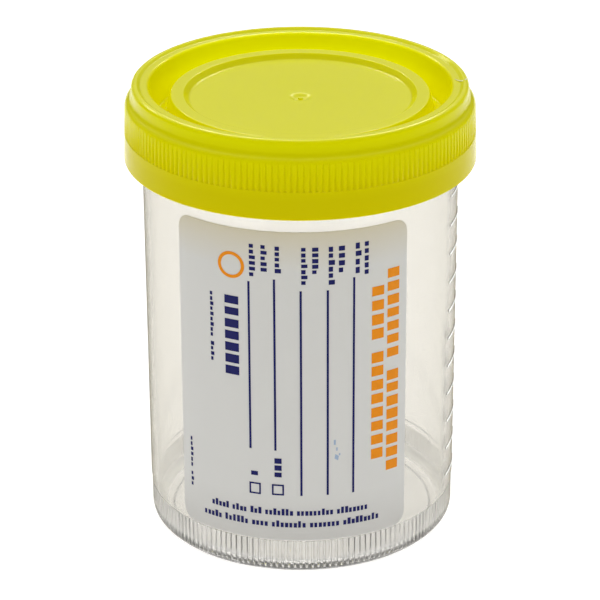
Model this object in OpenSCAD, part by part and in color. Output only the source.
// Specimen container: a straight moulded jar with a ribbed foot and raised graduations,
// a one-piece screw lid with a fluted skirt and a plug seal, and an adhesive label.
// Millimetres, +Z up. The origin is at the middle of the base.

/* [Jar] */
// Outer diameter of the wall just above the foot band
jar_d = 51.8; // [46:0.2:60]
// Height of the jar from the base to the rim
jar_h = 75.5; // [72:0.5:90]
// Wall thickness
wall_t = 0.9; // [0.7:0.05:1.3]
// Growth of the wall's radius from the foot band to the neck
wall_draft = 0.15; // [0:0.05:0.4]
// Growth of the radius from the wall to the neck
neck_flare = 0.25; // [0.1:0.05:0.5]
// Floor thickness
floor_t = 1.0; // [0.8:0.1:2]
// Radius between the floor and the wall, inside
floor_round = 1.5; // [0.5:0.25:3]

/* [Foot] */
// Height of the foot band
foot_h = 7.5; // [6.5:0.25:9]
// Inset of the foot band from the wall
foot_step = 0.12; // [0.05:0.01:0.3]
// Plain strip of the foot band above the ribs
foot_plain_h = 1.2; // [0.5:0.1:2.5]
// Ribs round the foot
rib_count = 163; // [120:1:180]
// Depth of the grooves between the foot ribs
rib_depth = 0.3; // [0.15:0.05:0.4]
// Rounding of the foot's lower edge, on which the ribs run out
base_round = 2.2; // [1.5:0.1:3]
// Depth of the recess under the floor
base_recess = 0.5; // [0.3:0.1:1]
// Width of the ring that the jar stands on
base_ring_w = 1.4; // [0.8:0.1:3]

/* [Graduations] */
// Height of the lowest graduation
tick_low_z = 9.7; // [9:0.1:14]
// Distance from one graduation to the next
tick_pitch = 5.12; // [4:0.02:8]
// Angle from the front to the start of the graduations
tick_start_angle = 70; // [60:1:110]
// Angle that a graduation spans
tick_span_angle = 18; // [8:1:24]
// Height of a graduation's line
tick_line_h = 0.3; // [0.2:0.05:0.5]
// How far a graduation stands proud
tick_proud = 0.15; // [0.1:0.05:0.3]

/* [Thread] */
// Rise of the thread in one turn
thread_pitch = 4.2; // [4:0.1:4.6]
// Turns of the thread on the neck
thread_turns = 1.3; // [1.1:0.05:1.4]
// Height of the neck's thread above its wall
thread_depth = 1.0; // [0.8:0.05:1.2]
// Width of a thread's ridge at its root
thread_root_w = 1.7; // [1.4:0.1:1.9]
// Width of a thread's ridge at its crest
thread_crest_w = 0.7; // [0.5:0.1:1]
// Distance from the rim to the top end of the neck's thread
thread_top_drop = 2.6; // [2.4:0.1:3]

/* [Lid] */
// Overall height of the lid
lid_h = 12.8; // [12.4:0.1:14]
// Thickness of the lid over the jar's rim
lid_top_t = 2.2; // [1.8:0.1:3]
// Thickness of the skirt at its lower edge
skirt_t = 1.5; // [1.3:0.05:2]
// Loss of the skirt's radius from its lower edge to its shoulder
skirt_draft = 0.3; // [0:0.05:0.4]
// Thickness of the raised rim's outer wall
rim_t = 1.05; // [0.9:0.05:1.3]
// Height of the raised rim above the shoulder
rim_h = 2.4; // [2:0.1:3]
// Height of the slope between the rim and the shoulder's edge
shoulder_h = 0.75; // [0.4:0.05:1]
// Rounding of the rim's outer edge
rim_round = 0.7; // [0.4:0.05:0.8]
// Width of the bead round the rim's outer edge
rim_bead_w = 1.45; // [1.3:0.05:1.7]
// Fall from the bead's crest to the rim's flat land
rim_fall = 0.34; // [0.15:0.01:0.5]
// Height of the plain band below the flutes
band_h = 4.5; // [3:0.1:6]
// Flutes round the skirt
flute_count = 182; // [120:2:200]
// Depth of the flutes at the top of the skirt
flute_depth = 0.12; // [0.08:0.01:0.2]
// Height of the slope that ends a flute at its foot
flute_run = 0.45; // [0.2:0.05:0.8]

/* [Lid panel] */
// Thickness of the panel and of the plug's walls
panel_t = 1.15; // [1:0.05:1.4]
// Depth of the groove behind the plug seal, below the top of the rim
groove_depth = 6.3; // [5.5:0.1:7]
// Thickness of the plug's wall at the groove's mouth
mouth_t = 0.55; // [0.4:0.05:0.8]
// Width of the groove at its mouth
groove_mouth_w = 3.55; // [3.2:0.05:4.5]
// Width of the groove at its bottom
groove_floor_w = 1.5; // [1.2:0.1:2]
// Narrowing of the plug from its mouth to its tip
plug_lead = 0.2; // [0:0.05:0.3]
// Drop from the top of the rim to the raised ring
ring_drop = 1.95; // [1.2:0.05:2.5]
// Width of the raised ring's flat top
ring_w = 2.1; // [1.5:0.1:3]
// Step from the raised ring down to the panel
panel_step = 0.9; // [0.4:0.1:1.2]
// Diameter of the gate dimple in the middle of the panel
dimple_d = 3.5; // [2:0.1:4.5]
// Depth of the gate dimple
dimple_depth = 0.4; // [0.2:0.05:0.5]

/* [Label] */
// Angle that the label spans round the jar
label_angle = 90; // [60:1:120]
// Angle of the label's middle from the front, positive to the right
label_turn = -4; // [-15:1:15]
// Gap from the lid's lower edge to the label
label_top_gap = 3.1; // [2:0.1:6]
// Overlap of the label on the foot band's plain strip
label_foot_lap = 0.85; // [0:0.05:1]
// Radius of the label's corners
label_corner_r = 2.4; // [1:0.1:5]
// Thickness of the label film
label_t = 0.12; // [0.08:0.01:0.2]

/* [Clearances] */
// Between the jar's rim and the lid's seat
seat_gap = 0.1; // [0.05:0.05:0.2]
// Between the plug and the mouth of the jar
plug_gap = 0.1; // [0.05:0.05:0.2]
// Between the neck and the lid's bore
bore_gap = 0.25; // [0.2:0.05:0.3]
// Between a thread's crest and the wall that it faces
crest_gap = 0.2; // [0.15:0.05:0.3]
// Between the flanks of the two threads
flank_gap = 0.2; // [0.15:0.05:0.3]
// Between the jar's wall and the label: its adhesive
glue_gap = 0.03; // [0.02:0.01:0.05]

/* [Hidden] */

$fn = 180;
// Steps of a rounded corner in a profile, and of a thread's turn
corner_steps = 5;
turn_steps = 48;
// Angle over which a thread's end rises to its full height
thread_run_in = 30;
// How far a ridge or a line is sunk into the wall that carries it
root_sink = 0.3;
// How far a cutter reaches past what it cuts
past = 1;

// Jar
jar_r = jar_d / 2;
lid_top_z = jar_h + seat_gap + lid_top_t;
lid_low_z = lid_top_z - lid_h;
neck_z = lid_low_z + 1.2;
flare_h = 1;
function wall_r(z) = jar_r + wall_draft * (z - foot_h) / (neck_z - foot_h);
neck_r = wall_r(neck_z) + neck_flare;
mouth_r = neck_r - wall_t;
foot_r = jar_r - foot_step;
base_r = foot_r - base_round;
floor_z = base_recess + floor_t;
lip_round = 0.3;

// Threads: each ridge is centred on its own helix, and the lid's lies under the neck's
thread_crest_r = neck_r + thread_depth;
skirt_in_r = thread_crest_r + crest_gap;
lid_crest_r = neck_r + crest_gap + 0.05;
thread_rise = thread_pitch * thread_turns;
thread_low_z = jar_h - thread_top_drop - thread_rise;
ridge_offset = (thread_root_w + thread_crest_w) / 2 + flank_gap;

// Lid
seat_z = jar_h + seat_gap;
skirt_r = skirt_in_r + skirt_t;
shoulder_r = skirt_r - skirt_draft;
bore_r = neck_r + bore_gap;
rim_r = bore_r + rim_t;
rim_low_z = lid_top_z - rim_h;
shoulder_z = rim_low_z - shoulder_h;
bore_low_z = shoulder_z - 0.1;
flute_low_z = lid_low_z + band_h;
flute_root_r = shoulder_r - flute_depth;
flute_reach = skirt_r - flute_root_r;
flute_crest_r = shoulder_r + skirt_draft * (shoulder_z - flute_low_z) / (shoulder_z - lid_low_z);
plug_r = mouth_r - plug_gap;
rim_in_r = plug_r - mouth_t;
groove_z = lid_top_z - groove_depth;
groove_out_r = plug_r - plug_lead - panel_t;
groove_in_r = groove_out_r - groove_floor_w;
plug_tip_z = groove_z - panel_t;
ring_z = lid_top_z - ring_drop;
ring_out_r = rim_in_r - groove_mouth_w;
ring_in_r = ring_out_r - ring_w;
panel_z = ring_z - panel_step;
panel_r = ring_in_r - panel_step;
nub_r = dimple_d / 9;

// Label
label_top_z = lid_low_z - label_top_gap;
label_low_z = foot_h - label_foot_lap;
tick_top_z = lid_low_z - past;
tick_count = floor((tick_top_z - tick_low_z) / tick_pitch) + 1;

// Points of a corner at b, between a and c, rounded to radius r
function unit(v) = v / norm(v);
function corner(a, b, c, r) =
    r == 0 ? [b] :
    let (u = unit(a - b), w = unit(c - b), half = acos(u * w) / 2,
         centre = b + unit(u + w) * r / sin(half),
         from = b + u * r / tan(half) - centre,
         turn = u[0] * w[1] - u[1] * w[0] > 0 ? -1 : 1,
         start = atan2(from[1], from[0]))
    [for (i = [0 : corner_steps])
        let (t = start + turn * (180 - 2 * half) * i / corner_steps)
        centre + r * [cos(t), sin(t)]];

// Outline through the given corners, each of which is [x, y, rounding]
function rounded(path) =
    let (n = len(path))
    [for (i = [0 : n - 1])
        let (a = path[(i + n - 1) % n], b = path[i], c = path[(i + 1) % n])
        each corner([a[0], a[1]], [b[0], b[1]], [c[0], c[1]], b[2])];

module turned(path) rotate_extrude() polygon(rounded(path));

// Grooves between rounded ribs. A pitch is a list of [share of the pitch, share of the height],
// from one groove's bottom, at root_r, over a rib's crest, at crest_r, to the next groove.
rib_pitch = [[-0.12, 0], [0.12, 0], [0.27, 0.8], [0.5, 1], [0.73, 0.8]];
flute_pitch = [[0, 0], [0.22, 0.6], [0.5, 1], [0.78, 0.6]];
function scallops(root_r, crest_r, count, pitch) =
    [for (i = [0 : count - 1], p = pitch)
        let (r = root_r + (crest_r - root_r) * p[1], t = 360 * (i + p[0]) / count)
        r * [cos(t), sin(t)]];
module groove_cutter(root_r, crest_r, count, pitch, h) {
    linear_extrude(h) difference() {
        circle(crest_r + 3 * past);
        polygon(scallops(root_r, crest_r, count, pitch));
    }
}

// Helical ridge of trapezoid section, from radius root_r to crest_r, with ends that run out
module ridge(root_r, crest_r, turns) {
    steps = ceil(turns * turn_steps);
    side = sign(crest_r - root_r);
    points = [for (i = [0 : steps])
        let (t = 360 * turns * i / steps, z = thread_pitch * t / 360,
             grown = min(1, t / thread_run_in, (360 * turns - t) / thread_run_in),
             crest = root_r + (crest_r - root_r) * max(grown, 0.02),
             sunk = root_r - side * root_sink, way = [cos(t), sin(t)])
        each [concat(way * sunk, z - thread_root_w / 2), concat(way * crest, z - thread_crest_w / 2),
              concat(way * crest, z + thread_crest_w / 2), concat(way * sunk, z + thread_root_w / 2)]];
    sides = [for (i = [0 : steps - 1], k = [0 : 3])
        let (a = 4 * i + k, b = 4 * i + (k + 1) % 4)
        each [[a, a + 4, b + 4], [a, b + 4, b]]];
    last = 4 * steps;
    faces = concat(sides, [[0, 1, 2], [0, 2, 3], [last + 2, last + 1, last], [last + 3, last + 2, last]]);
    polyhedron(points, side < 0 ? faces : [for (f = faces) [f[2], f[1], f[0]]]);
}

// One raised line of the scale
module tick(z) {
    translate([0, 0, z]) rotate([0, 0, tick_start_angle - 90])
        rotate_extrude(angle = tick_span_angle)
            translate([wall_r(z) - root_sink, -tick_line_h / 2])
                square([root_sink + tick_proud, tick_line_h]);
}

module jar() {
    inner_low_r = jar_r - wall_t;
    color([0.95, 0.94, 0.9, 0.6]) union() {
        difference() {
            turned([
                [0, base_recess, 0], [base_r - base_ring_w, base_recess, 0.3],
                [base_r - base_ring_w, 0, 0.2], [foot_r, 0, base_round],
                [foot_r, foot_h - foot_step, 0], [jar_r, foot_h, 0],
                [wall_r(neck_z), neck_z, 0], [neck_r, neck_z + flare_h, 0],
                [neck_r, jar_h, lip_round], [mouth_r, jar_h, lip_round],
                [mouth_r, neck_z + flare_h, 0], [wall_r(neck_z) - wall_t, neck_z, 0],
                [inner_low_r, floor_z, floor_round], [0, floor_z, 0]
            ]);
            translate([0, 0, -past])
                groove_cutter(foot_r - rib_depth, foot_r + rib_depth / 4, rib_count, rib_pitch,
                    foot_h - foot_plain_h + past);
        }
        for (i = [0 : tick_count - 1]) tick(tick_low_z + i * tick_pitch);
        translate([0, 0, thread_low_z]) ridge(neck_r, thread_crest_r, thread_turns);
    }
}

module lid() {
    color([0.82, 0.82, 0.05]) union() {
        difference() {
            turned([
                [0, panel_z - dimple_depth * 0.2, 0], [nub_r, panel_z - dimple_depth * 0.2, 0],
                [nub_r, panel_z - dimple_depth, 0], [dimple_d / 4, panel_z - dimple_depth, 1.2],
                [dimple_d / 2, panel_z, 1.5], [panel_r, panel_z, 0.7], [ring_in_r, ring_z, 0.3],
                [ring_out_r, ring_z, 0.3], [groove_in_r, groove_z, 0.4], [groove_out_r, groove_z, 0.4],
                [rim_in_r, lid_top_z - rim_fall, 0.5], [rim_r - rim_bead_w, lid_top_z - rim_fall, 0.25],
                [rim_r - rim_bead_w + 1.5 * rim_fall, lid_top_z, 0.15], [rim_r, lid_top_z, rim_round],
                [rim_r, rim_low_z, 1.0], [shoulder_r, shoulder_z, 1.1],
                [skirt_r, lid_low_z, 0.25], [skirt_in_r, lid_low_z, 0.25],
                [skirt_in_r, bore_low_z - (skirt_in_r - bore_r), 0.3], [bore_r, bore_low_z, 0.3],
                [bore_r, seat_z, 0.2], [plug_r, seat_z, 0.15], [plug_r - plug_lead, plug_tip_z, 0.5],
                [groove_in_r - panel_t, plug_tip_z, 0.5],
                [ring_out_r - panel_t, ring_z - panel_t, 0.3],
                [ring_in_r - panel_t / 3, ring_z - panel_t, 0.3],
                [panel_r - panel_t / 3, panel_z - panel_t, 0.3], [0, panel_z - panel_t, 0]
            ]);
            intersection() {
                translate([0, 0, flute_low_z - past])
                    groove_cutter(flute_root_r, flute_crest_r, flute_count, flute_pitch,
                        rim_low_z - flute_low_z + past - 0.1);
                rotate_extrude() polygon([
                    [flute_root_r - past, flute_low_z + flute_run * (1 + past / flute_reach)],
                    [skirt_r + past, flute_low_z - flute_run * past / flute_reach],
                    [skirt_r + past, lid_top_z], [flute_root_r - past, lid_top_z]
                ]);
            }
        }
        translate([0, 0, thread_low_z - ridge_offset]) ridge(skirt_in_r, lid_crest_r, thread_turns);
    }
}

// Outline of the label as seen straight on: a rounded rectangle laid round the wall, so that
// its width follows the sine of the angle
function label_outline() =
    let (half = label_angle / 2, r = label_corner_r, ra = r / jar_r * 180 / PI)
    [for (q = [[1, -1], [1, 1], [-1, 1], [-1, -1]], i = [0 : corner_steps])
        let (a = 90 * (q[0] * q[1] < 0 ? corner_steps - i : i) / corner_steps,
            t = q[0] * (half - ra + ra * cos(a)),
            z = (q[1] > 0 ? label_top_z - r : label_low_z + r) + q[1] * r * sin(a))
        [jar_r * sin(t), z]];

module label() {
    reach = 3;
    inner = [for (z = [label_low_z - past, label_top_z + past]) [wall_r(z) + glue_gap, z]];
    color([0.8, 0.8, 0.79]) rotate([0, 0, label_turn]) intersection() {
        rotate([0, 0, -90 - label_angle / 2 - reach]) rotate_extrude(angle = label_angle + 2 * reach)
            polygon([inner[0], inner[0] + [label_t, 0], inner[1] + [label_t, 0], inner[1]]);
        rotate([90, 0, 0]) linear_extrude(2 * jar_r) polygon(label_outline());
    }
}

jar();
lid();
label();
